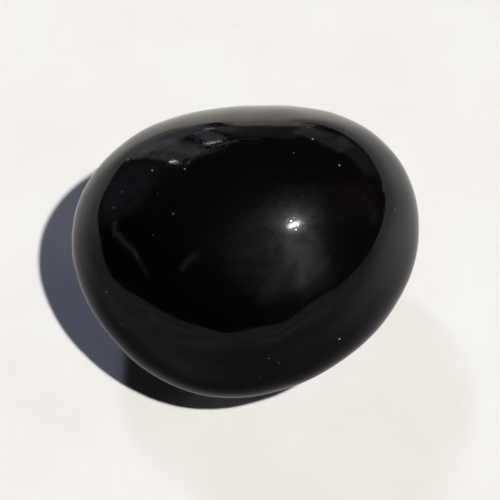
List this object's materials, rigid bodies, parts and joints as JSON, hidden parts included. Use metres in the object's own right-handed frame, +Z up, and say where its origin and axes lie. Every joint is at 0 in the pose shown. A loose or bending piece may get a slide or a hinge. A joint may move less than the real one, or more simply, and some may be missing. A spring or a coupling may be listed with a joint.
{
  "type": "obsidian tumble stone",
  "caption": "Polished tumbled pebble of opaque black volcanic glass, egg-like and softly three-cornered, with a worn-down ridge low on its near side, lying on a small flat.",
  "frame": {"origin": "on the plane of the worn flat that the stone lies on, under the middle of its box", "axes": "+X along the stone's length towards its taller end, +Y across it away from its worn-down ridge, +Z up from the flat it rests on"},
  "size_m": [0.03, 0.0242, 0.0218],
  "materials": {
    "obsidian": "polished"
  },
  "bodies": {
    "root": {"stone": "obsidian"}
  },
  "joints": []
}
